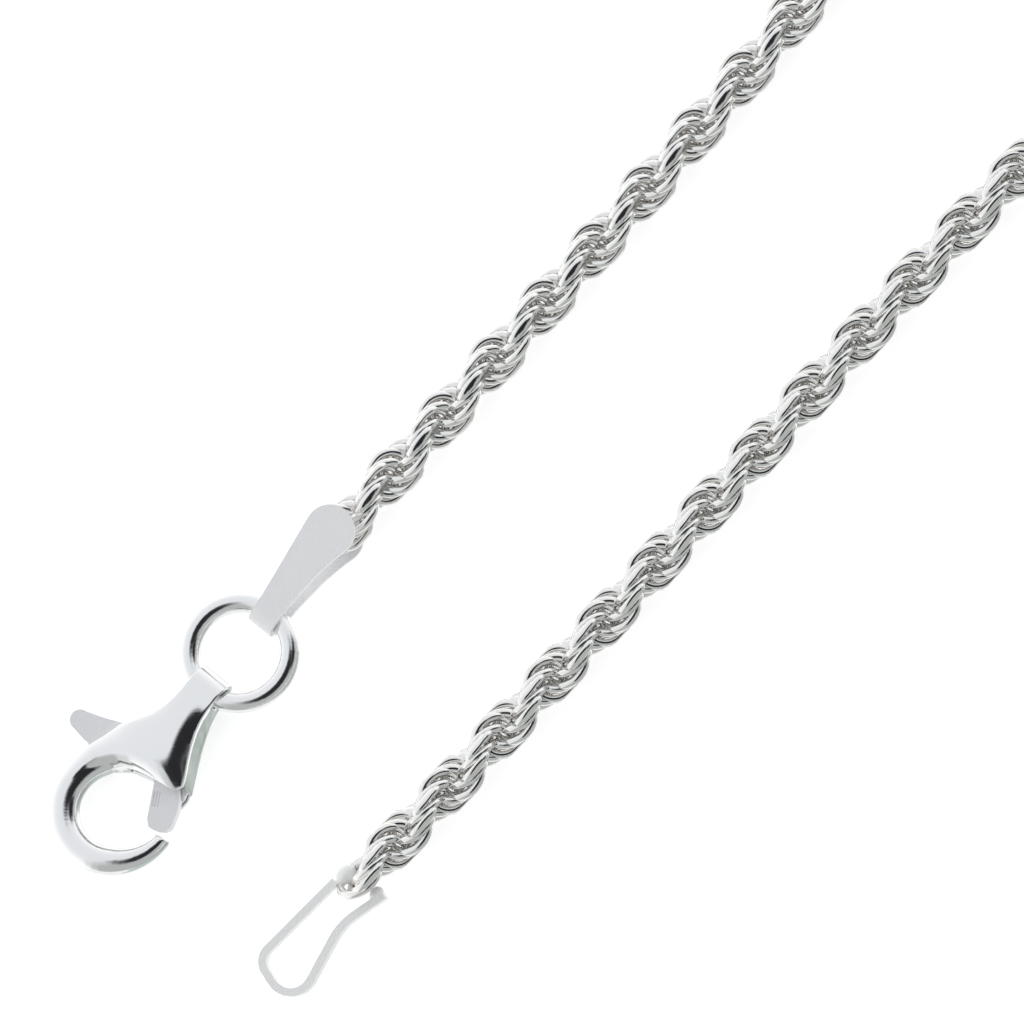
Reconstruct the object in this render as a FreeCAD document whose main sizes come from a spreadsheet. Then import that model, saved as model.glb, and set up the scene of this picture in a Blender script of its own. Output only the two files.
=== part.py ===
import FreeCAD, Part
import math
import os

from FreeCAD import Placement, Rotation, Vector

# A fine rope-chain necklace lying on a flat surface: lobster clasp, jump ring and folded end tag on
# one end of the chain, a soldered wire loop on the other. The rest of the chain is wound in a coil.
# Millimetres, +Z up, surface at z = 0. The origin is on the surface, in the middle of the box
# round the clasp, jump ring, tag and end loop.

DOC = FreeCAD.newDocument("rope_chain_necklace")

# ---------------------------------------------------------------- driving dimensions
SIZES = {
    # chain
    "chain_diameter": 2.35,
    "chain_lift": 0.05,
    "link_wire": 0.44,
    "link_diameter": 2.2,
    "link_pitch": 0.8,
    # coil of put-away chain, wound in two layers
    "coil_outer_turn": 13.85,
    "coil_turn_spacing": 2.4,
    "coil_turns": 3.5,
    "coil_edge_radius": 1.1,
    # jump ring
    "ring_diameter": 5.66,
    "ring_wire": 0.97,
    "ring_height": 0.9,
    # end tag, a strip folded round the jump ring
    "tag_strip": 0.27,
    "tag_reach": 6.95,
    "tag_end_radius": 1.2,
    "tag_fold_width": 1.3,
    "tag_height": 2.8,
    # clasp
    "clasp_reach": 9.39,
    "hook_hole": 3.45,
    "hook_wire": 1.25,
    "hook_height": 0.7,
    "bail_width": 1.62,
    "bail_strip": 0.25,
    "shell_top": 1.9,
    "slot_bottom": 0.36,
    "slot_top": 1.19,
    # lever, its pin and spring
    "lever_bottom": 0.42,
    "lever_top": 1.13,
    "pin_radius": 0.25,
    "pin_clearance": 0.05,
    "spring_wire": 0.12,
    "spring_radius": 0.5,
    "spring_recess": 0.68,
    # end loop
    "loop_strip": 0.38,
    "loop_height": 0.6,
    "loop_tilt": 6.0,
}

sheet = DOC.addObject("Spreadsheet::Sheet", "Sizes")
for row, (alias, value) in enumerate(SIZES.items(), start=1):
    sheet.set(f"A{row}", alias)
    sheet.set(f"B{row}", str(value))
    sheet.setAlias(f"B{row}", alias)
DOC.recompute()


def size(alias):
    """The value of one cell of the sheet."""
    return float(sheet.get(alias))


# ---------------------------------------------------------------- where things lie
STRAND_ANGLE = 48.3  # direction of both strands, from +X
RING_CENTRE = Vector(0.88, 4.55, size("ring_height"))
CLASP_ANGLE = 51.3  # from the hook to the jump ring
TAG_ANGLE = 50.6  # from the jump ring to the chain
LAST_LINK = Vector(6.72, -6.12, size("chain_diameter") / 2 + size("chain_lift"))
LAST_LINK_ANGLE = 46.2
COIL_ALONG, COIL_LEFT = 68.0, -3.63  # centre of the coil, along the strands and to their left

nodes = {}


def bind(item, **expressions):
    """Binds an object's properties to cells of the sheet."""
    for name, expression in expressions.items():
        item.setExpression(name, expression)
    return item


def node(label, item):
    """Makes an object one of the necklace's pieces."""
    item.Label = label
    nodes[label] = item
    return item


def direction(degrees):
    return Vector(math.cos(math.radians(degrees)), math.sin(math.radians(degrees)), 0)


def turned(base, degrees):
    """A placement at base, turned about Z."""
    return Placement(base, Rotation(Vector(0, 0, 1), degrees))


# ---------------------------------------------------------------- shapes made from runs and arcs
def rounded_path(points, radii=None):
    """Straight runs joined by tangent arcs. Without radii, each arc is as large as its runs allow."""
    edges, start = [], points[0]
    used = []
    for index in range(1, len(points) - 1):
        before, corner, after = points[index - 1], points[index], points[index + 1]
        run_in, run_out = corner - before, after - corner
        half_turn = run_in.getAngle(run_out) / 2
        shorter = min(run_in.Length, run_out.Length)
        radius = radii[index - 1] if radii else 0.45 * shorter / math.tan(half_turn)
        trim = radius * math.tan(half_turn)
        first = corner - Vector(run_in).normalize() * trim
        last = corner + Vector(run_out).normalize() * trim
        inward = (first + last) * 0.5 - corner
        middle = corner + inward.normalize() * (radius / math.cos(half_turn) - radius)
        edges.append(Part.LineSegment(start, first).toShape())
        edges.append(Part.Arc(first, middle, last).toShape())
        start = last
        used.append(radius)
    edges.append(Part.LineSegment(start, points[-1]).toShape())
    return Part.Wire(edges), used


def swept(path, profile):
    """Sweeps a profile, a closed wire drawn round the path's start, along the path."""
    pipe = Part.BRepOffsetAPI.MakePipeShell(path)
    pipe.add(profile, False, False)
    pipe.setTransitionMode(1)
    pipe.build()
    pipe.makeSolid()
    return pipe.shape()


def tube(label, points, diameter):
    """A cord's tube, with its radii and its volume printed."""
    path, used = rounded_path(points)
    ahead = points[1] - points[0]
    profile = Part.Wire([Part.Circle(points[0], ahead, diameter / 2).toShape()])
    feature = node(label, DOC.addObject("Part::Feature", label))
    feature.Shape = swept(path, profile)
    expected = path.Length * math.pi * diameter**2 / 4
    print(label, "length %.1f" % path.Length, "radii", ["%.1f" % radius for radius in used])
    print(label, "volume over section x length %.4f" % (feature.Shape.Volume / expected))
    return path.Length


def outline(points):
    """Closed outline of straight lines; a point given as (x, y, 'arc') is passed by an arc."""
    edges, index, count = [], 0, len(points)
    corners = [Vector(point[0], point[1], 0) for point in points]
    while index < count:
        following = (index + 1) % count
        if len(points[following]) == 3:
            end = (index + 2) % count
            edges.append(Part.Arc(corners[index], corners[following], corners[end]))
            index += 2
        else:
            edges.append(Part.LineSegment(corners[index], corners[following]))
            index += 1
    return edges


def extruded(name, edges, base, length, placement, symmetric=False):
    """A sketch of the outline, extruded by a length that is bound to the sheet."""
    sketch = DOC.addObject("Sketcher::SketchObject", name + "_sketch")
    for edge in edges:
        sketch.addGeometry(edge, False)
    sketch.Placement = placement.multiply(base)
    solid = DOC.addObject("Part::Extrusion", name)
    solid.Base = sketch
    solid.DirMode = "Normal"
    solid.Solid = True
    solid.Symmetric = symmetric
    return bind(solid, LengthFwd=length)


LEVEL = Placement()
UPRIGHT = Placement(Vector(), Rotation(Vector(1, 0, 0), 90))  # sketch x stays x, sketch y is up


def lifted(height):
    return Placement(Vector(0, 0, height), Rotation())


def combined(kind, name, *members):
    """A boolean of two or more objects: Part::Fuse, Part::Cut or Part::Common."""
    result = members[0]
    for member in members[1:]:
        pair = DOC.addObject(kind, name)
        pair.Base, pair.Tool = result, member
        result = pair
    return result


def cylinder(name, radius, height, place):
    return bind(placed(DOC.addObject("Part::Cylinder", name), place), Radius=radius, Height=height)


def placed(item, place):
    item.Placement = place
    return item


# ---------------------------------------------------------------- the route of the chain
def strand_point(along, left, height):
    """A point given along the strands and to their left."""
    ahead = direction(STRAND_ANGLE)
    aside = direction(STRAND_ANGLE + 90)
    return ahead * along + aside * left + Vector(0, 0, height)


def end_link_point(centre, degrees, steps):
    return centre + direction(degrees) * steps * size("link_pitch")


on_floor = size("chain_diameter") / 2 + size("chain_lift")
outer_turn = size("coil_outer_turn")
tag_link = RING_CENTRE + direction(TAG_ANGLE) * (size("tag_reach") + 0.35)
tag_link.z = size("tag_strip") + size("link_diameter") / 2
coil_centre = strand_point(COIL_ALONG, COIL_LEFT, 0)

# the strand that starts at the tag, and the one that starts at the end loop
CLASP_SIDE = [
    tag_link + direction(STRAND_ANGLE) * (size("link_pitch") + size("link_diameter") / 2),
    strand_point(COIL_ALONG - 20.0, COIL_LEFT + 5.96, on_floor),
    strand_point(COIL_ALONG - 14.8, COIL_LEFT + 8.5, on_floor),
    strand_point(COIL_ALONG - 9.9, COIL_LEFT + 12.1, on_floor),
    strand_point(COIL_ALONG - 4.5, COIL_LEFT + outer_turn, on_floor),
    strand_point(COIL_ALONG, COIL_LEFT + outer_turn, on_floor),
]
upper_layer = on_floor + size("chain_diameter")
LOOP_SIDE = [
    LAST_LINK + direction(LAST_LINK_ANGLE) * (size("link_pitch") + size("link_diameter") / 2),
    Vector(14.03, 1.25, on_floor),
    strand_point(COIL_ALONG - 20.0, COIL_LEFT - 6.0, on_floor),
    strand_point(COIL_ALONG - 14.8, COIL_LEFT - 8.5, on_floor + 0.15),
    strand_point(COIL_ALONG - 9.9, COIL_LEFT - 12.1, on_floor + 0.95),
    strand_point(COIL_ALONG - 4.5, COIL_LEFT - outer_turn, upper_layer - 0.25),
    strand_point(COIL_ALONG, COIL_LEFT - outer_turn, upper_layer),
]

tube_length = tube("chain_clasp_side", CLASP_SIDE, size("chain_diameter"))
tube_length += tube("chain_loop_side", LOOP_SIDE, size("chain_diameter"))

# the coil: turns beside each other, in two layers
inner_turn = outer_turn - size("coil_turn_spacing") * size("coil_turns") / 2
coil_length = math.pi * (outer_turn + inner_turn) * size("coil_turns")
print("chain length %.1f" % (tube_length + coil_length))


def chain_coil():
    """The coil's outer shape, a ring with rounded edges."""
    here = Placement(coil_centre, Rotation())
    turns_wide = "Sizes.coil_turn_spacing * Sizes.coil_turns / 2"
    edge = "Sizes.coil_outer_turn + Sizes.chain_diameter / 2"
    hole = f"Sizes.coil_outer_turn - {turns_wide} - Sizes.chain_diameter / 2"
    disc = cylinder("coil_disc", edge, "2 * Sizes.chain_diameter", here)
    core = cylinder("coil_core", hole, "2 * Sizes.chain_diameter", here)
    ring = combined("Part::Cut", "coil_ring", disc, core)
    DOC.recompute()
    rounded = DOC.addObject("Part::Fillet", "coil_rounded")
    rounded.Base = ring
    radius = size("coil_edge_radius")
    rims = [n for n, rim in enumerate(ring.Shape.Edges, start=1) if len(rim.Vertexes) == 1]
    rounded.Edges = [(rim, radius, radius) for rim in rims]
    node("chain_coil", rounded)


# ---------------------------------------------------------------- end links
def end_link(label, centre, degrees, upright):
    """One round chain link, flat or standing on edge along the chain."""
    roll = Rotation(Vector(1, 0, 0), 90) if upright else Rotation()
    place = Placement(centre, Rotation(Vector(0, 0, 1), degrees).multiply(roll))
    link = node(label, placed(DOC.addObject("Part::Torus", label), place))
    bind(link, Radius1="(Sizes.link_diameter - Sizes.link_wire) / 2", Radius2="Sizes.link_wire / 2")


# ---------------------------------------------------------------- jump ring
def jump_ring():
    ring = node("jump_ring", DOC.addObject("Part::Torus", "jump_ring"))
    ring.Placement = Placement(RING_CENTRE, Rotation())
    bind(ring, Radius1="(Sizes.ring_diameter - Sizes.ring_wire) / 2", Radius2="Sizes.ring_wire / 2")


ring_radius = (size("ring_diameter") - size("ring_wire")) / 2


# ---------------------------------------------------------------- end tag
def end_tag():
    """A strip folded round the ring, with a rounded plate each side of the chain's end."""
    strip, middle = size("tag_strip"), size("ring_height")
    fold, outer = middle - strip, middle
    end = size("tag_reach") + size("tag_end_radius") + 0.1
    top = size("tag_height")
    radius, reach = size("tag_end_radius"), size("tag_reach")
    half_fold = size("tag_fold_width") / 2
    near = ring_radius - outer
    place = turned(Vector(RING_CENTRE.x, RING_CENTRE.y, 0), TAG_ANGLE)
    shape = [
        (near, -half_fold),
        (ring_radius + 0.9, -half_fold),
        (ring_radius + 2.6, -half_fold - 0.13),
        (reach - 0.6 * radius, -0.86 * radius),
        (reach - 0.14 * radius, -0.99 * radius),
        (reach + radius, 0, "arc"),
        (reach - 0.14 * radius, 0.99 * radius),
        (ring_radius, half_fold),
        (near, half_fold),
    ]
    plan = extruded("tag_plan", outline(shape), LEVEL, "Sizes.tag_height + 1", place)
    side = [
        (end, 0),
        (end, strip),
        (ring_radius, strip),
        (ring_radius - fold, middle, "arc"),
        (ring_radius, middle + fold),
        (end, top - strip),
        (end, top),
        (ring_radius, middle + outer),
        (ring_radius - outer, middle, "arc"),
        (ring_radius, 0),
    ]
    profile = extruded("tag_side", outline(side), UPRIGHT, "4 * Sizes.tag_end_radius", place, True)
    node("end_tag", combined("Part::Common", "end_tag", plan, profile))


def tag_solder():
    """Two flat drops of solder, under and over the first link."""
    drops = []
    for name, height in (("solder_low", size("tag_strip")), ("solder_high", tag_link.z * 2 - 0.55)):
        drop = DOC.addObject("Part::Ellipsoid", name)
        drop.Radius1, drop.Radius2, drop.Radius3 = 0.22, 0.55, 0.45
        drop.Placement = turned(Vector(tag_link.x, tag_link.y, height + 0.12), STRAND_ANGLE)
        drops.append(drop)
    pair = DOC.addObject("Part::Compound", "tag_solder")
    pair.Links = drops
    node("tag_solder", pair)


# ---------------------------------------------------------------- clasp
# The clasp is drawn with x from the hook's centre towards the jump ring and y to the left.
CLASP = turned(RING_CENTRE - direction(CLASP_ANGLE) * size("clasp_reach"), CLASP_ANGLE)
CLASP.Base.z = 0
HOOK_TIP = -79.5  # where the hook's wire ends
HOOK_ROOT = 44.0  # where it runs into the body
BAIL_LEFT = 0.07  # the bail is a little to the left of the hook's centre
PIVOT = (3.53, 0.41)
bend = size("clasp_reach") - ring_radius - 0.01  # middle of the bail's bend, round the ring


def at_clasp(x, y, z):
    return CLASP.multiply(Placement(Vector(x, y, z), Rotation()))


def shell_outline(corner):
    """The body seen from above: broad at the hook, narrow at the bail, one rounded corner."""
    half = size("bail_width") / 2
    return [
        (bend - 0.5, BAIL_LEFT + half),
        (5.45, 1.12),
        (4.3, 1.66, "arc"),
        (3.2, 2.26),
        (2.2, 2.72, "arc"),
        (1.1, 2.88),
        (0.9, 2.2),
        (1.4, 1.45),
        (1.95, 0.75, "arc"),
        (2.2, -0.1),
        (2.36, -0.75),
        *corner,
        (4.5, -1.38),
        (5.8, -0.87),
        (bend - 0.5, BAIL_LEFT - half),
    ]


def bail_profile():
    """Side view of the strip that leaves the front, goes round the ring and joins the back."""
    strip, middle = size("bail_strip"), size("ring_height")
    fold = middle - strip
    start = 5.3
    return [
        (start, 0),
        (bend, 0),
        (bend + middle, middle, "arc"),
        (bend, 2 * middle),
        (start, 2 * middle),
        (start, 2 * middle - strip),
        (bend, 2 * middle - strip),
        (bend + fold, middle, "arc"),
        (bend, strip),
        (start, strip),
    ]


def around_pivot(radius, degrees):
    """A point round the lever's pin, in the clasp's own axes."""
    spot = direction(degrees) * radius
    return (PIVOT[0] + spot.x, PIVOT[1] + spot.y)


def clasp_body():
    """Hook, two half shells with the lever's slot between them, and the folded bail."""
    hook = DOC.addObject("Part::Torus", "hook")
    bind(hook, Radius1="(Sizes.hook_hole + Sizes.hook_wire) / 2", Radius2="Sizes.hook_wire / 2")
    hook.Angle3 = 360 + HOOK_TIP - HOOK_ROOT
    hook.Placement = at_clasp(0, 0, size("hook_height")).multiply(turned(Vector(), HOOK_ROOT))
    long_corner = outline(shell_outline([(1.95, -1.9), (2.0, -2.3, "arc"), (2.35, -2.32)]))
    back = extruded("back_shell", long_corner, LEVEL, "Sizes.slot_bottom", CLASP)
    short_corner = outline(shell_outline([(2.4, -1.85), (2.62, -2.16, "arc"), (2.95, -2.05)]))
    thickness = "Sizes.shell_top - Sizes.slot_top"
    front = extruded("front_shell", short_corner, lifted(size("slot_top")), thickness, CLASP)
    bail_side = at_clasp(0, BAIL_LEFT, 0)
    bail = extruded("bail", outline(bail_profile()), UPRIGHT, "Sizes.bail_width", bail_side, True)
    reach = 4.14
    way = [
        PIVOT,
        around_pivot(reach, -125),
        around_pivot(reach, -142) + ("arc",),
        around_pivot(reach, -160),
    ]
    gate_way = extruded("gate_way", outline(way), LEVEL, "Sizes.shell_top", CLASP)
    hook_end = combined("Part::Cut", "hook_end", hook, gate_way)
    whole = combined("Part::Fuse", "clasp_whole", back, front, bail, hook_end)
    bore = cylinder("pin_bore", "Sizes.pin_radius", "Sizes.shell_top - 0.3", at_clasp(*PIVOT, 0))
    node("clasp_body", combined("Part::Cut", "clasp_body", whole, bore))


def clasp_pin():
    place = at_clasp(*PIVOT, 0)
    node("clasp_pin", cylinder("clasp_pin", "Sizes.pin_radius", "Sizes.shell_top - 0.3", place))


# Three short grooves side by side on the gate.
GROOVE_LENGTH, GROOVE_WIDTH, GROOVE_PITCH, GROOVE_DEPTH = 0.72, 0.055, 0.13, 0.1


def clasp_lever():
    """Thumb tab, hub and gate in one flat piece that turns about the pin."""
    shape = [
        (3.45, 2.2),
        (3.13, 2.95),
        (2.82, 3.85),
        (2.3, 4.33, "arc"),
        (1.85, 3.9),
        (1.72, 3.05),
        (1.8, 2.65),
        (2.65, 1.65),
        (2.7, 0.3),
        (2.25, -0.75),
        (0.72, -1.58),
        (0.47, -1.88),
        (0.6, -2.33, "arc"),
        (0.88, -2.66),
        (1.1, -2.72),
        (1.9, -2.48),
        (2.3, -2.25),
        (3.6, -0.95),
        (4.35, 0.0),
        (4.4, 0.9, "arc"),
        (3.75, 1.45),
    ]
    thickness = "Sizes.lever_top - Sizes.lever_bottom"
    blank = extruded("lever_blank", outline(shape), lifted(size("lever_bottom")), thickness, CLASP)
    below = at_clasp(*PIVOT, size("lever_bottom") - 0.5)
    bore = cylinder("lever_bore", "Sizes.pin_radius + Sizes.pin_clearance", "2", below)
    floor = at_clasp(*PIVOT, size("lever_top") - 3 * size("spring_wire"))
    recess = cylinder("lever_recess", "Sizes.spring_recess", "1", floor)
    grooves = []
    edge, inward = Vector(-0.877, -0.481, 0), Vector(0.481, -0.877, 0)
    first = Vector(2.25, -0.75, 0) + edge * 0.4 + inward * 0.09
    for number in range(3):
        start = first + inward * GROOVE_PITCH * number
        far = start + inward * GROOVE_WIDTH
        sides = [start, start + edge * GROOVE_LENGTH, far + edge * GROOVE_LENGTH, far]
        groove = outline([(corner.x, corner.y) for corner in sides])
        base = lifted(size("lever_top") - GROOVE_DEPTH)
        grooves.append(extruded(f"gate_groove_{number}", groove, base, str(2 * GROOVE_DEPTH), CLASP))
    node("clasp_lever", combined("Part::Cut", "clasp_lever", blank, bore, recess, *grooves))


def clasp_spring():
    """Torsion spring round the pin, in the lever's recess; its two turns are drawn as plain rings."""
    turns = []
    for name, below_top in (("upper_turn", 0.7), ("lower_turn", 1.8)):
        place = at_clasp(*PIVOT, size("lever_top") - below_top * size("spring_wire"))
        turn = placed(DOC.addObject("Part::Torus", name), place)
        turns.append(bind(turn, Radius1="Sizes.spring_radius", Radius2="Sizes.spring_wire / 2"))
    spring = DOC.addObject("Part::Compound", "clasp_spring")
    spring.Links = turns
    node("clasp_spring", spring)


# ---------------------------------------------------------------- end loop
LOOP_POINTS = [
    Vector(5.59, -6.15, 0),
    Vector(1.9, -9.68, 0),
    Vector(3.55, -12.22, 0),
    Vector(5.83, -8.17, 0),
    Vector(7.89, -6.81, 0),
]
LOOP_RADII = [0.8, 1.06, 3.0]


def end_loop():
    """A U of flat wire on edge, its two legs soldered to the sides of the last link."""
    path, _ = rounded_path(LOOP_POINTS, LOOP_RADII)
    ahead = (LOOP_POINTS[1] - LOOP_POINTS[0]).normalize()
    aside = ahead.cross(Vector(0, 0, 1)) * size("loop_strip") / 2
    up = Vector(0, 0, size("loop_height") / 2)
    start = LOOP_POINTS[0]
    corners = [start - aside - up, start + aside - up, start + aside + up, start - aside + up]
    loop = node("end_loop", DOC.addObject("Part::Feature", "end_loop"))
    loop.Shape = swept(path, Part.makePolygon(corners + corners[:1]))
    # the far end lies on the surface and the legs rise to the link
    axis = direction(LAST_LINK_ANGLE + 90)
    low = LOOP_POINTS[2] + direction(LAST_LINK_ANGLE) * 0.2
    rise = Rotation(axis, -size("loop_tilt"))
    loop.Placement = Placement(low + up - rise.multVec(low), rise)


def loop_solder(label, place_along, place_left, height, radius):
    """A drop of solder between the last link and one leg of the loop."""
    drop = node(label, DOC.addObject("Part::Ellipsoid", label))
    drop.Radius1, drop.Radius2, drop.Radius3 = 0.8 * radius, 1.25 * radius, radius
    ahead, aside = direction(LAST_LINK_ANGLE), direction(LAST_LINK_ANGLE + 90)
    spot = LAST_LINK + ahead * place_along + aside * place_left
    spot.z = height
    drop.Placement = turned(spot, LAST_LINK_ANGLE)


chain_coil()
end_link("first_link", tag_link, STRAND_ANGLE, True)
end_link("second_link", end_link_point(tag_link, STRAND_ANGLE, 1), STRAND_ANGLE, False)
end_link("last_link", LAST_LINK, LAST_LINK_ANGLE, False)
end_link("link_before_last", end_link_point(LAST_LINK, LAST_LINK_ANGLE, 1), LAST_LINK_ANGLE, True)
jump_ring()
end_tag()
tag_solder()
clasp_body()
clasp_pin()
clasp_lever()
clasp_spring()
end_loop()
loop_solder("loop_solder_left", -0.3, 0.66, 1.0, 0.42)
loop_solder("loop_solder_right", 0.05, -0.98, 0.95, 0.3)

# ---------------------------------------------------------------- checks and export
DOC.recompute()
for item in DOC.Objects:
    if "Invalid" in item.State or "Error" in item.State:
        raise RuntimeError(f"{item.Name} failed: {item.State}")

os.makedirs("parts", exist_ok=True)
for label, item in nodes.items():
    shape = item.Shape
    if shape.isNull() or not shape.isValid():
        raise RuntimeError(f"{label} has no valid shape")
    shape.exportStep(f"parts/{label}.step")
    box = shape.BoundBox
    print(f"{label}: solids {len(shape.Solids)}, volume {shape.Volume:.3f},",
          f"z {box.ZMin:.2f}..{box.ZMax:.2f}")
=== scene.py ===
import math

import bpy
import numpy as np
from mathutils import Matrix, Vector


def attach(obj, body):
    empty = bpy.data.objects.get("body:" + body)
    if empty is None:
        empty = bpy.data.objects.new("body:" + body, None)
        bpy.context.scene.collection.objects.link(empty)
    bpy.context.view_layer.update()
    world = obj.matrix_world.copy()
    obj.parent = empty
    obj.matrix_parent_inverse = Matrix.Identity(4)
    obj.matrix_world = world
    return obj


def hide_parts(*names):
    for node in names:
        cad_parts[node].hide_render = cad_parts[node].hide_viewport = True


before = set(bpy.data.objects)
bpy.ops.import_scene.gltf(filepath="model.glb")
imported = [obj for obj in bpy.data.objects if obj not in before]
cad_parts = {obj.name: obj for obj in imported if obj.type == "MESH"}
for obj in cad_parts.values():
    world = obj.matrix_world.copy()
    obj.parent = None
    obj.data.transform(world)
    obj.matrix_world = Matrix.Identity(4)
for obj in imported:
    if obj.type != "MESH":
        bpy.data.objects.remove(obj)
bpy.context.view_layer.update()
MM = 0.001

# ---------------------------------------------------------------- camera
TILT, TILT_TOWARDS = math.radians(13), math.radians(-45)
FIELD = 47.2 * MM  # width of the picture at the necklace
DISTANCE = 0.6
TARGET = Vector((13.58, 10.90, 1.175)) * MM
SENSOR = 36


def place_camera():
    """A long lens looking down, leaning a little to the picture's lower right."""
    hinge = Vector((-math.sin(TILT_TOWARDS), math.cos(TILT_TOWARDS), 0))
    turn = Matrix.Rotation(TILT, 4, hinge)
    data = bpy.data.cameras.new("camera")
    camera = bpy.data.objects.new("camera", data)
    bpy.context.scene.collection.objects.link(camera)
    camera.matrix_world = Matrix.Translation(TARGET) @ turn @ Matrix.Translation((0, 0, DISTANCE))
    data.sensor_width = SENSOR
    data.lens = SENSOR * DISTANCE / FIELD
    data.clip_start, data.clip_end = 0.01, 20
    bpy.context.scene.camera = camera


place_camera()


# ---------------------------------------------------------------- node helpers
def add(tree, kind, **inputs):
    """A shader node; inputs are values or sockets to link."""
    node = tree.nodes.new(kind)
    for name, value in inputs.items():
        socket = node.inputs[name.replace("_", " ")]
        if isinstance(value, bpy.types.NodeSocket):
            tree.links.new(value, socket)
        else:
            socket.default_value = value
    return node


def math_node(tree, operation, first, second):
    """A sum, product or maximum of two values or sockets."""
    node = tree.nodes.new("ShaderNodeMath")
    node.operation = operation
    for socket, value in zip(node.inputs, (first, second)):
        if isinstance(value, bpy.types.NodeSocket):
            tree.links.new(value, socket)
        else:
            socket.default_value = value
    return node.outputs[0]


def smooth_step(tree, value, start, end):
    """0 before start, 1 past end, and a smooth rise between them."""
    node = tree.nodes.new("ShaderNodeMapRange")
    node.interpolation_type = "SMOOTHSTEP"
    tree.links.new(value, node.inputs["Value"])
    node.inputs["From Min"].default_value = start
    node.inputs["From Max"].default_value = end
    return node.outputs["Result"]


def mixed(tree, factor, first, second):
    """Two colours mixed: the first at factor 0, the second at factor 1."""
    node = tree.nodes.new("ShaderNodeMix")
    node.data_type = "RGBA"
    for socket, value in ((node.inputs[0], factor), (node.inputs[6], first), (node.inputs[7], second)):
        if isinstance(value, bpy.types.NodeSocket):
            tree.links.new(value, socket)
        else:
            socket.default_value = value
    return node.outputs[2]


def toward(azimuth, elevation):
    """The unit vector in a direction given in degrees."""
    a, e = math.radians(azimuth), math.radians(elevation)
    return (math.cos(e) * math.cos(a), math.cos(e) * math.sin(a), math.sin(e))


# ---------------------------------------------------------------- studio
HORIZON, ZENITH = (1.14, 1.14, 1.14, 1), (0.80, 0.82, 0.85, 1)
# The tent's spots: azimuth, elevation, inner and outer radius in degrees, and colour.
GREY_SIDE = ((-50, 8, 60, 84), (0.46, 0.48, 0.475, 1))
PALE_FLOOR = ((-90, -48, 22, 38), (0.95, 0.97, 0.96, 1))
DIM_BELOW = ((135, -76, 10, 26), (0.22, 0.23, 0.24, 1))
DARK_OPENINGS, DARK = ((-38, 66, 19, 33), (6, 38, 9, 24)), (0.022, 0.022, 0.025, 1)
FLOOR_SIZE, FLOOR_DROP = 3, 0.00001
FLOOR_GREY, FLOOR_ROUGH, FLOOR_GLOW = (0.7, 0.7, 0.7, 1), 0.9, 0.72


def studio():
    """A white tent with the dark openings that polished silver shows as bands, and a pale floor."""
    world = bpy.data.worlds.new("tent")
    bpy.context.scene.world = world
    world.use_nodes = True
    tree = world.node_tree
    tree.nodes.clear()
    where = tree.nodes.new("ShaderNodeTexCoord").outputs["Generated"]

    def facing(direction):
        """The cosine of the angle between the view into the tent and a direction."""
        node = tree.nodes.new("ShaderNodeVectorMath")
        node.operation = "DOT_PRODUCT"
        tree.links.new(where, node.inputs[0])
        node.inputs[1].default_value = direction
        return node.outputs["Value"]

    def spot(azimuth, elevation, inner, outer):
        """1 within inner degrees of a direction, 0 beyond outer."""
        return smooth_step(tree, facing(toward(azimuth, elevation)),
                           math.cos(math.radians(outer)), math.cos(math.radians(inner)))

    height = smooth_step(tree, facing((0, 0, 1)), -0.35, 1.0)
    colour = mixed(tree, height, HORIZON, ZENITH)
    for place, shade in (GREY_SIDE, PALE_FLOOR, DIM_BELOW):
        colour = mixed(tree, spot(*place), colour, shade)
    dark = math_node(tree, "MAXIMUM", *(spot(*place) for place in DARK_OPENINGS))
    colour = mixed(tree, dark, colour, DARK)
    background = add(tree, "ShaderNodeBackground", Color=colour, Strength=1.0)
    out = tree.nodes.new("ShaderNodeOutputWorld")
    tree.links.new(background.outputs[0], out.inputs["Surface"])

    bpy.ops.mesh.primitive_plane_add(size=FLOOR_SIZE, location=(0, 0, -FLOOR_DROP))
    floor = bpy.context.object
    floor.name = "floor"
    floor.visible_glossy = False
    material = bpy.data.materials.new("paper")
    material.use_nodes = True
    shader = material.node_tree.nodes["Principled BSDF"]
    shader.inputs["Base Color"].default_value = FLOOR_GREY
    shader.inputs["Roughness"].default_value = FLOOR_ROUGH
    shader.inputs["Emission Color"].default_value = (1, 1, 1, 1)
    shader.inputs["Emission Strength"].default_value = FLOOR_GLOW
    floor.data.materials.append(material)


studio()
bpy.context.scene.view_settings.view_transform = "Standard"


# ---------------------------------------------------------------- materials
CLOUD_SCALE, CLOUD_DARKER = 900.0, 0.965
SCRATCH_TURN, SCRATCH_STRETCH = math.radians(-50), 0.12
BUMP_DEPTH = 0.00001


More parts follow.
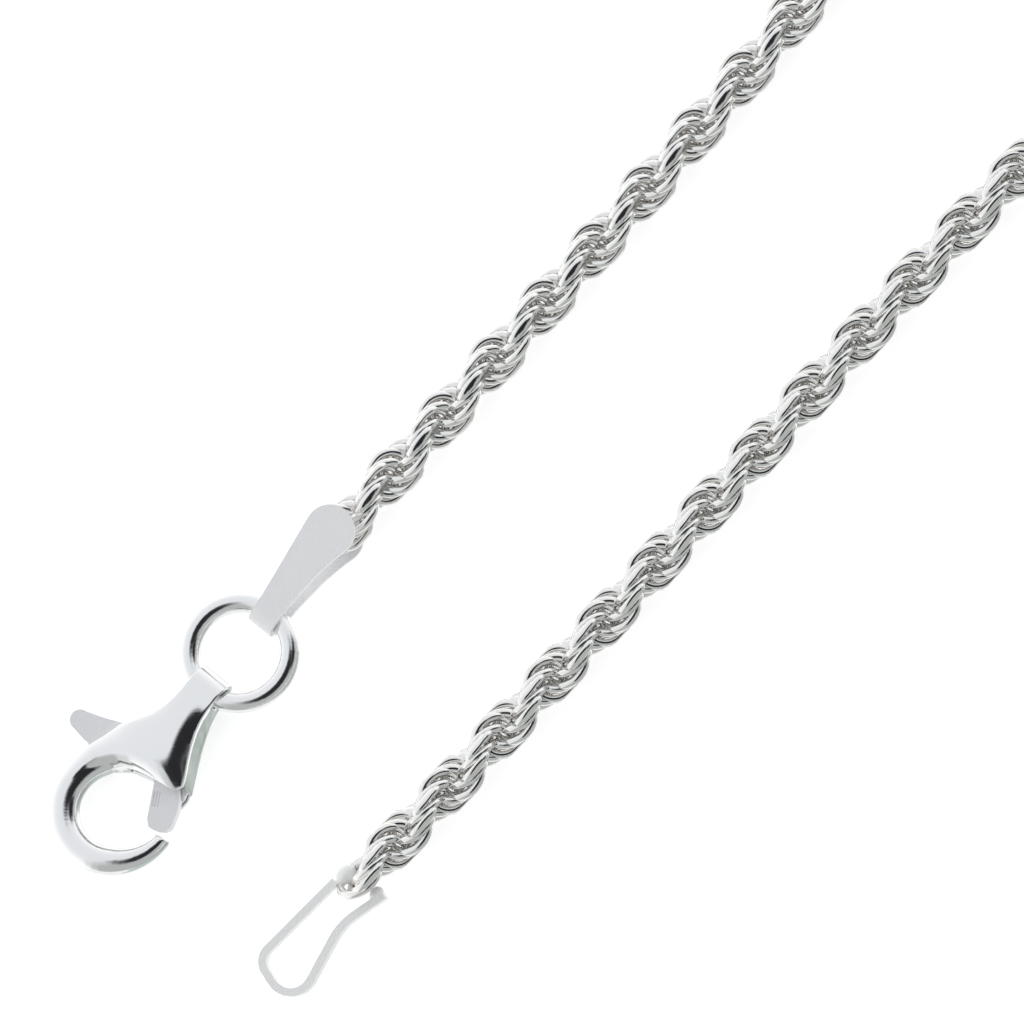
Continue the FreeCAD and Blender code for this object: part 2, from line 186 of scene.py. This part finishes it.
def silver(name, colour, rough, rough_spread, scratch, scratch_scale, grain=0.0, grain_scale=30000.0,
           metal=1.0, glow=0.0):
    """Polished or satin silver: roughness that varies, faint scratches one way and a fine grain."""
    material = bpy.data.materials.new(name)
    material.use_nodes = True
    tree = material.node_tree
    shader = tree.nodes["Principled BSDF"]
    shader.inputs["Metallic"].default_value = metal
    shader.inputs["Emission Color"].default_value = (1, 1, 1, 1)
    shader.inputs["Emission Strength"].default_value = glow
    place = tree.nodes.new("ShaderNodeTexCoord").outputs["Object"]
    clouds = add(tree, "ShaderNodeTexNoise", Vector=place, Scale=CLOUD_SCALE, Detail=3.0)
    spread = math_node(tree, "MULTIPLY", math_node(tree, "SUBTRACT", clouds.outputs["Fac"], 0.5),
                       2 * rough_spread)
    tree.links.new(math_node(tree, "ADD", spread, rough), shader.inputs["Roughness"])
    darker = tuple(CLOUD_DARKER * c for c in colour[:3]) + (1,)
    tint = mixed(tree, clouds.outputs["Fac"], colour, darker)
    tree.links.new(tint, shader.inputs["Base Color"])
    turn = add(tree, "ShaderNodeMapping", Vector=place, Rotation=(0, 0, SCRATCH_TURN),
               Scale=(SCRATCH_STRETCH, 1, 1))
    lines = add(tree, "ShaderNodeTexNoise", Vector=turn.outputs[0], Scale=scratch_scale, Detail=2.0)
    specks = add(tree, "ShaderNodeTexNoise", Vector=place, Scale=grain_scale, Detail=1.0)
    height = math_node(tree, "ADD", math_node(tree, "MULTIPLY", lines.outputs["Fac"], scratch),
                       math_node(tree, "MULTIPLY", specks.outputs["Fac"], grain))
    bump = add(tree, "ShaderNodeBump", Height=height, Strength=1.0, Distance=BUMP_DEPTH)
    tree.links.new(bump.outputs[0], shader.inputs["Normal"])
    return material


# colour, roughness and its spread, scratches and their scale, grain and its scale, metal, glow
POLISHED = silver("silver_polished", (0.95, 0.95, 0.95, 1), 0.11, 0.03, 0.3, 9000.0, 0.2, 22000.0)
CHAIN = silver("silver_chain", (0.93, 0.92, 0.90, 1), 0.11, 0.04, 0.2, 8000.0)
# The three satin silvers glow a little, standing in for fill light on their flat faces.
SATIN = silver("silver_satin", (0.99, 0.99, 1.0, 1), 0.6, 0.06, 0.8, 12000.0, 2.6, 14000.0, 0.2, 0.07)
LOOP = silver("silver_loop", (0.99, 0.99, 0.98, 1), 0.55, 0.08, 1.0, 9000.0, 2.8, 12000.0, 0.2, 0.07)
LEVER = silver("silver_lever", (0.99, 0.99, 1.0, 1), 0.6, 0.06, 0.8, 12000.0, 1.6, 16000.0, 0.2, 0.03)
# The clasp's side wall: rougher than the polished faces, and its darker, slightly green colour is painted
# shade on the faces that look right.
SIDE_PAINTED_SHADE = silver("silver_side_painted_shade", (0.66, 0.72, 0.68, 1), 0.42, 0.05, 0.4, 9000.0, 0.3, 22000.0)
STEEL = silver("spring_steel", (0.55, 0.55, 0.56, 1), 0.25, 0.05, 0.2, 9000.0)
BEVEL_STEPS, BEVEL_FROM = 3, math.radians(35)


def dress(node, material, edge=0.0):
    """A CAD node with its material and, where edge is given, softened edges."""
    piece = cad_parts[node]
    piece.data.materials.clear()
    piece.data.materials.append(material)
    if edge:
        bevel = piece.modifiers.new("edge", "BEVEL")
        bevel.width, bevel.segments = edge * MM, BEVEL_STEPS
        bevel.limit_method, bevel.angle_limit = "ANGLE", BEVEL_FROM
        bevel.harden_normals = False


def mesh_piece(name, body, material, points, faces):
    """A smooth mesh given in millimetres in the row frame."""
    data = bpy.data.meshes.new(name)
    data.from_pydata([tuple(c * MM for c in point) for point in points], [], faces)
    data.validate()
    data.polygons.foreach_set("use_smooth", [True] * len(data.polygons))
    data.materials.append(material)
    piece = bpy.data.objects.new(name, data)
    bpy.context.scene.collection.objects.link(piece)
    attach(piece, body)
    return piece


# ---------------------------------------------------------------- the chain's route
STRAND = math.radians(48.3)
AHEAD = Vector((math.cos(STRAND), math.sin(STRAND), 0))
LEFT = Vector((-math.sin(STRAND), math.cos(STRAND), 0))
FLOOR_Z = 1.225  # the chain's centre, when it lies on the surface
LAYER = 2.35  # the upper layer lies this much higher
COIL_ALONG, COIL_LEFT = 68.0, -3.63
OUTER_TURN, INNER_TURN = 13.85, 9.65
TURNS_EACH_LAYER = 1.75
STEPS_EACH_LAYER = 28
CLIMB_TURNS = 0.26  # the share of a turn in which the chain climbs to the upper layer


def strand_point(along, left, height=FLOOR_Z):
    """A point given along the strands and to the left of them."""
    return AHEAD * along + LEFT * left + Vector((0, 0, height))


def coil_points():
    """Round and inwards on the surface, then round and outwards on top."""
    points = []
    for layer in (0, 1):
        for step in range(1, STEPS_EACH_LAYER + 1 - layer):
            share = step / STEPS_EACH_LAYER
            turn = 2 * math.pi * TURNS_EACH_LAYER * (layer + share)
            inward = share if layer == 0 else 1 - share
            radius = OUTER_TURN + (INNER_TURN - OUTER_TURN) * inward
            past_layer = turn / (2 * math.pi) - TURNS_EACH_LAYER
            climb = min(max(past_layer / CLIMB_TURNS + 0.5, 0), 1)
            height = FLOOR_Z + LAYER * climb * climb * (3 - 2 * climb)
            points.append(strand_point(COIL_ALONG + radius * math.sin(turn),
                                       COIL_LEFT + radius * math.cos(turn), height))
    return points


ROUTE = [
    Vector((5.63, 10.10, 1.37)),
    strand_point(COIL_ALONG - 20.0, COIL_LEFT + 5.96),
    strand_point(COIL_ALONG - 14.8, COIL_LEFT + 8.5),
    strand_point(COIL_ALONG - 9.9, COIL_LEFT + 12.1),
    strand_point(COIL_ALONG - 4.5, COIL_LEFT + OUTER_TURN),
    strand_point(COIL_ALONG, COIL_LEFT + OUTER_TURN),
    *coil_points(),
    strand_point(COIL_ALONG, COIL_LEFT - OUTER_TURN, FLOOR_Z + LAYER),
    strand_point(COIL_ALONG - 4.5, COIL_LEFT - OUTER_TURN, FLOOR_Z + LAYER - 0.25),
    strand_point(COIL_ALONG - 9.9, COIL_LEFT - 12.1, FLOOR_Z + 0.95),
    strand_point(COIL_ALONG - 14.8, COIL_LEFT - 8.5, FLOOR_Z + 0.15),
    strand_point(COIL_ALONG - 20.0, COIL_LEFT - 6.0),
    Vector((14.03, 1.25, FLOOR_Z)),
    Vector((6.72, -6.12, FLOOR_Z)),
]


def smooth_line(points):
    """The NURBS curve that the route's points control, as close points in millimetres."""
    data = bpy.data.curves.new("route", "CURVE")
    data.dimensions = "3D"
    spline = data.splines.new("NURBS")
    spline.points.add(len(points) - 1)
    for control, point in zip(spline.points, points):
        control.co = (*point, 1)
    spline.use_endpoint_u = True
    spline.order_u = 3
    spline.resolution_u = 24
    route = bpy.data.objects.new("route", data)
    bpy.context.scene.collection.objects.link(route)
    bpy.context.view_layer.update()
    mesh = bpy.data.meshes.new_from_object(route)
    line = np.array([vertex.co for vertex in mesh.vertices])
    bpy.data.objects.remove(route)
    return line


LINE = smooth_line(ROUTE)
ALONG = np.concatenate([[0], np.cumsum(np.linalg.norm(np.diff(LINE, axis=0), axis=1))])


def on_line(distance):
    """The point of the line at a distance from its start."""
    return np.array([np.interp(distance, ALONG, LINE[:, axis]) for axis in range(3)])


# ---------------------------------------------------------------- the chain's links
LINK_STEP = 0.39  # from one link to the next; every second link belongs to the same strand
LINK_TURN, FIRST_TURN = -math.radians(200), 0.35
LINK_RADIAL, LINK_AXIAL = 0.94, 1.02  # half sizes of a link, to the middle of its wire
LINK_WIRE = 0.43
LINK_OFF_AXIS = 0.1
LINK_LEAN = math.radians(84)
CUT_RADIUS = 1.09  # where the rope's outer wires are cut flat
CUT_SIDES, CUT_START = 6, 0.84
RINGS_ROUND, WIRE_ROUND = 32, 8
AIM_SPAN = 0.3  # how far before and behind a link its direction is taken
CHAIN_PIECES = 4


def link_mesh(distance, number):
    """One link's points: an oval of round wire, leaning, its outermost parts cut flat."""
    here, ahead = on_line(distance), on_line(distance + AIM_SPAN) - on_line(distance - AIM_SPAN)
    ahead = ahead / np.linalg.norm(ahead)
    side = np.cross([0, 0, 1.0], ahead)
    side = side / np.linalg.norm(side)
    up = np.cross(ahead, side)
    turn = LINK_TURN * number + FIRST_TURN
    out = math.cos(turn) * side + math.sin(turn) * up
    across = math.cos(turn + math.pi / 2) * side + math.sin(turn + math.pi / 2) * up
    normal = math.cos(LINK_LEAN) * ahead + math.sin(LINK_LEAN) * across
    axial = np.cross(normal, out)
    round_link = np.linspace(0, 2 * math.pi, RINGS_ROUND, endpoint=False)[:, None]
    middle = LINK_RADIAL * np.cos(round_link) * out + LINK_AXIAL * np.sin(round_link) * axial
    outward = np.cos(round_link) / LINK_RADIAL * out + np.sin(round_link) / LINK_AXIAL * axial
    outward = outward / np.linalg.norm(outward, axis=1)[:, None]
    round_wire = np.linspace(0, 2 * math.pi, WIRE_ROUND, endpoint=False)
    local = (middle + LINK_OFF_AXIS * out)[:, None, :] + LINK_WIRE / 2 * (
        np.cos(round_wire)[None, :, None] * outward[:, None, :]
        + np.sin(round_wire)[None, :, None] * normal[None, None, :])
    local = local.reshape(-1, 3)
    for cut in range(CUT_SIDES):
        angle = 2 * math.pi * cut / CUT_SIDES + CUT_START
        face = math.cos(angle) * side + math.sin(angle) * up
        over = np.maximum(local @ face - CUT_RADIUS, 0)
        local = local - over[:, None] * face
    return local + here


def link_faces(base):
    """One link's faces, when its first point has number base."""
    faces = []
    for i in range(RINGS_ROUND):
        for j in range(WIRE_ROUND):
            a, b = base + i * WIRE_ROUND + j, base + i * WIRE_ROUND + (j + 1) % WIRE_ROUND
            step = ((i + 1) % RINGS_ROUND - i) * WIRE_ROUND
            faces.append((a, b, b + step, a + step))
    return faces


def chain():
    """All links, dealt out to four pieces that each run the whole length."""
    count = int(ALONG[-1] / LINK_STEP) + 1
    for share in range(CHAIN_PIECES):
        points, faces = [], []
        for number in range(share, count, CHAIN_PIECES):
            faces += link_faces(len(points))
            points += [tuple(point) for point in link_mesh(number * LINK_STEP, number)]
        name = f"chain_links_{share + 1}"
        mesh_piece(name, "chain", CHAIN, points, faces)
    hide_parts("chain_clasp_side", "chain_loop_side", "chain_coil",
                "first_link", "second_link", "last_link", "link_before_last")


chain()

# ---------------------------------------------------------------- the clasp's body
# Axes as in the CAD: x from the hook's centre towards the jump ring, y to the left, millimetres.
CLASP_TURN = math.radians(51.3)
RING_CENTRE = Vector((0.88, 4.55, 0))
CLASP_REACH = 9.39  # from the hook's centre to the ring's
RING_MIDDLE_RADIUS = 2.345  # to the middle of the ring's wire
CLASP_PLACE = (Matrix.Translation(RING_CENTRE) @ Matrix.Rotation(CLASP_TURN, 4, "Z")
               @ Matrix.Translation((-CLASP_REACH, 0, 0)))


def loft(sections, points, faces):
    """Adds a closed body through sections that all have the same number of points."""
    base, count = len(points), len(sections[0])
    for section in sections:
        points += [tuple(point) for point in section]
    for row in range(len(sections) - 1):
        for i in range(count):
            a, b = base + row * count + i, base + row * count + (i + 1) % count
            faces.append((a, b, b + count, a + count))
    faces.append(tuple(base + i for i in reversed(range(count))))
    faces.append(tuple(base + (len(sections) - 1) * count + i for i in range(count)))


# the hook's wire: angle round its hole, inner and outer radius, half height
HOOK = [
    (18, 2.04, 2.38, 0.50), (32, 1.88, 2.62, 0.56), (47, 1.70, 3.10, 0.62), (70, 1.62, 3.13, 0.64),
    (95, 1.58, 3.08, 0.65), (130, 1.57, 3.02, 0.65), (170, 1.60, 2.99, 0.64), (218, 1.67, 2.97, 0.62),
    (240, 1.84, 2.98, 0.58), (255, 2.00, 3.00, 0.54), (268, 2.17, 3.03, 0.51), (277, 2.27, 3.07, 0.49),
    (279.5, 2.31, 3.07, 0.46), (280.5, 2.4, 3.0, 0.38),
]
HOOK_HEIGHT, HOOK_ROUND = 0.7, 24


def hook_sections():
    """Round wire bent round the hook's hole, thinner towards the tip."""
    given = np.array(HOOK)
    sections = []
    for degrees in (*range(18, 277, 7), 277, 279, 280, 280.5):
        inner, outer, half_height = (np.interp(degrees, given[:, 0], given[:, column])
                                     for column in (1, 2, 3))
        a = math.radians(degrees)
        out, up = Vector((math.cos(a), math.sin(a), 0)), Vector((0, 0, 1))
        centre = out * (inner + outer) / 2 + up * HOOK_HEIGHT
        sections.append([centre + out * (outer - inner) / 2 * math.cos(b) + up * half_height * math.sin(b)
                         for b in np.linspace(0, 2 * math.pi, HOOK_ROUND, endpoint=False)])
    return sections


# left edge, right edge, crown, underside and height of the edges between the two
# (as a share) of the front shell, from inside the hook's wire to the bail
FRONT = [
    ((-0.95, 2.95), (-0.50, 1.54), 1.33, 0.70, 0.0),
    ((-0.35, 3.08), (-0.14, 1.62), 1.34, 0.72, 0.0),
    ((0.3, 3.11), (0.30, 1.66), 1.37, 0.78, 0.0),
    ((0.93, 3.04), (0.80, 1.62), 1.43, 0.86, 0.02),
    ((1.7, 2.91), (1.32, 1.40), 1.53, 0.96, 0.06),
    ((2.49, 2.57), (1.84, 0.86), 1.69, 1.06, 0.12),
    ((3.0, 2.35), (2.14, 0.22), 1.80, 1.12, 0.2),
    ((3.4, 2.14), (2.30, -0.38), 1.87, 1.16, 0.34),
    ((3.75, 1.93), (2.37, -0.94), 1.90, 1.18, 0.42),
    ((4.0, 1.77), (2.42, -1.46), 1.90, 1.19, 0.42),
    ((4.2, 1.65), (2.54, -1.86), 1.89, 1.19, 0.4),
    ((4.38, 1.53), (2.86, -2.03), 1.88, 1.19, 0.4),
    ((4.6, 1.40), (3.3, -1.86), 1.88, 1.19, 0.44),
    ((4.85, 1.27), (3.95, -1.50), 1.88, 1.19, 0.5),
    ((5.15, 1.15), (4.6, -1.18), 1.87, 1.19, 0.58),
    ((5.47, 1.03), (5.25, -0.93), 1.86, 1.19, 0.7),
    ((5.95, 0.93), (5.85, -0.79), 1.84, 1.22, 0.8),
    ((6.4, 0.88), (6.4, -0.74), 1.81, 1.36, 0.97),
    ((6.9, 0.88), (6.9, -0.74), 1.80, 1.55, 1.0),
]
DOME_POINTS = 25
RIDGE_AT_HOOK, RIDGE_SHIFT = 0.5, 0.09  # past the hook the ridge lies nearer the right edge
LOWEST_CROWN, CROWN_SPAN = 1.33, 0.5  # the ridge shifts as the crown rises by CROWN_SPAN
RIGHT_FALL, LEFT_RISE = 1.7, 0.55
UNDERSIDE_OVERLAP = 0.02


def front_sections():
    """The domed front shell: each section is flat below and rises to a ridge above."""
    sections = []
    for left, right, crown, low, edge_share in FRONT:
        left, right = Vector((*left, 0)), Vector((*right, 0))
        edge = low + edge_share * (crown - low)
        below = Vector((0, 0, low - UNDERSIDE_OVERLAP))
        points = [left + below, right + below]
        ridge = RIDGE_AT_HOOK + RIDGE_SHIFT * min(1.0, (crown - LOWEST_CROWN) / CROWN_SPAN)
        for share in np.linspace(1, 0, DOME_POINTS):
            if share > ridge:
                rise = 1 - ((share - ridge) / (1 - ridge)) ** RIGHT_FALL
            else:
                rise = math.sin(share / ridge * math.pi / 2) ** LEFT_RISE
            points.append(left.lerp(right, float(share)) + Vector((0, 0, edge + (crown - edge) * rise)))
        sections.append(points)
    return sections


# left and right edge of the back shell, from inside the hook's wire to the bail
BACK = [
    ((0.2, 2.95), (0.75, 1.70)), ((1.1, 2.9), (1.4, 1.28)), ((2.2, 2.72), (1.95, 0.5)),
    ((3.2, 2.26), (2.2, -0.5)), ((3.75, 1.93), (2.0, -1.75)), ((4.1, 1.75), (2.02, -2.34)),
    ((4.35, 1.6), (2.5, -2.38)), ((4.7, 1.4), (3.4, -2.0)), ((5.4, 1.1), (4.7, -1.40)),
    ((6.2, 0.9), (5.9, -0.92)), ((7.0, 0.86), (7.0, -0.72)),
]
BACK_TOP = 0.36


def back_sections():
    """The flat back shell, from the surface up to BACK_TOP."""
    return [[Vector((*left, 0.0)), Vector((*left, BACK_TOP)),
             Vector((*right, BACK_TOP)), Vector((*right, 0.0))]
            for left, right in BACK]


# the right flank between the two shells: outer edge at the bottom, then at the top
FLANK = [
    ((2.78, -2.40), (2.98, -2.00)), ((3.4, -2.08), (3.5, -1.76)), ((4.05, -1.74), (4.1, -1.42)),
    ((4.7, -1.42), (4.7, -1.14)), ((5.4, -1.12), (5.4, -0.90)), ((6.0, -0.93), (6.0, -0.78)),
    ((6.6, -0.78), (6.6, -0.74)),
]
FLANK_LOW, FLANK_HIGH, FLANK_INWARD = 0.1, 1.3, Vector((0.08, 0.4, 0))


def flank_sections():
    """The wall that closes the right flank, leaning inwards."""
    sections = []
    for bottom, top in FLANK:
        low, high = Vector((*bottom, FLANK_LOW)), Vector((*top, FLANK_HIGH))
        sections.append([low, high, high + FLANK_INWARD, low + FLANK_INWARD])
    return sections


BAIL_BEND = CLASP_REACH - RING_MIDDLE_RADIUS - 0.01  # x of the middle of the fold
BAIL_OUTSIDE, BAIL_STRIP, BAIL_POINTS = 0.9, 0.25, 17
BAIL_BACK_END, BAIL_FRONT_END = 5.7, 6.6
BAIL_SIDES = 0.88, -0.74


def bail_sections():
    """A flat strip from the front's end, round the jump ring, to the back's end."""
    inside, top = BAIL_OUTSIDE - BAIL_STRIP, 2 * BAIL_OUTSIDE

    def fold(radius):
        """The bend's outline from the back to the front, at a radius."""
        return [(BAIL_BEND + radius * math.cos(a), BAIL_OUTSIDE + radius * math.sin(a))
                for a in np.linspace(-math.pi / 2, math.pi / 2, BAIL_POINTS)]

    outline = [(BAIL_BACK_END, 0.0), *fold(BAIL_OUTSIDE),
               (BAIL_FRONT_END, top), (BAIL_FRONT_END, top - BAIL_STRIP),
               *reversed(fold(inside)), (BAIL_BACK_END, BAIL_STRIP)]
    return [[Vector((x, y, z)) for x, z in outline] for y in BAIL_SIDES]


VOXEL, SOFTEN_STEPS = 0.045, 12
# Faces that look right and not far up or down, below this height, get the side's silver, whose darker
# colour is painted shade.
SIDE_FACING, SIDE_SLOPE, SIDE_TOP = -0.75, 0.5, 1.3


def clasp_body():
    """Hook, front, back, flank and bail, joined under one skin that stands for the CAD's clasp body."""
    points, faces = [], []
    for sections in (hook_sections(), front_sections(), back_sections(), flank_sections(),
                     bail_sections()):
        loft(sections, points, faces)
    data = bpy.data.meshes.new("clasp_raw")
    data.from_pydata(points, [], faces)
    raw = bpy.data.objects.new("clasp_raw", data)
    bpy.context.scene.collection.objects.link(raw)
    remesh = raw.modifiers.new("skin", "REMESH")
    remesh.mode, remesh.voxel_size = "VOXEL", VOXEL
    soften = raw.modifiers.new("soften", "SMOOTH")
    soften.factor, soften.iterations = 0.5, SOFTEN_STEPS
    bpy.context.view_layer.update()
    skin = bpy.data.meshes.new_from_object(raw.evaluated_get(bpy.context.evaluated_depsgraph_get()))
    bpy.data.objects.remove(raw)
    skin.transform(Matrix.Scale(MM, 4) @ CLASP_PLACE)
    skin.polygons.foreach_set("use_smooth", [True] * len(skin.polygons))
    skin.materials.clear()
    skin.materials.append(POLISHED)
    # the second slot: the side silver, its darker colour a painted shade on the right flank
    skin.materials.append(SIDE_PAINTED_SHADE)
    to_clasp = CLASP_PLACE.to_3x3().inverted()
    for face in skin.polygons:
        facing = to_clasp @ face.normal
        if (facing.y < SIDE_FACING and abs(facing.z) < SIDE_SLOPE
                and face.center.z < SIDE_TOP * MM):
            face.material_index = 1
    skin.name = "clasp_shell"
    shell = bpy.data.objects.new("clasp_shell", skin)
    bpy.context.scene.collection.objects.link(shell)
    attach(shell, "clasp")
    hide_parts("clasp_body")


clasp_body()

# ---------------------------------------------------------------- CAD nodes that stay
dress("jump_ring", POLISHED)
dress("end_tag", SATIN, 0.05)
dress("tag_solder", SATIN)
dress("clasp_pin", POLISHED)
dress("clasp_lever", LEVER, 0.01)
dress("clasp_spring", STEEL)
dress("end_loop", LOOP, 0.06)
dress("loop_solder_left", LOOP)
dress("loop_solder_right", LOOP)
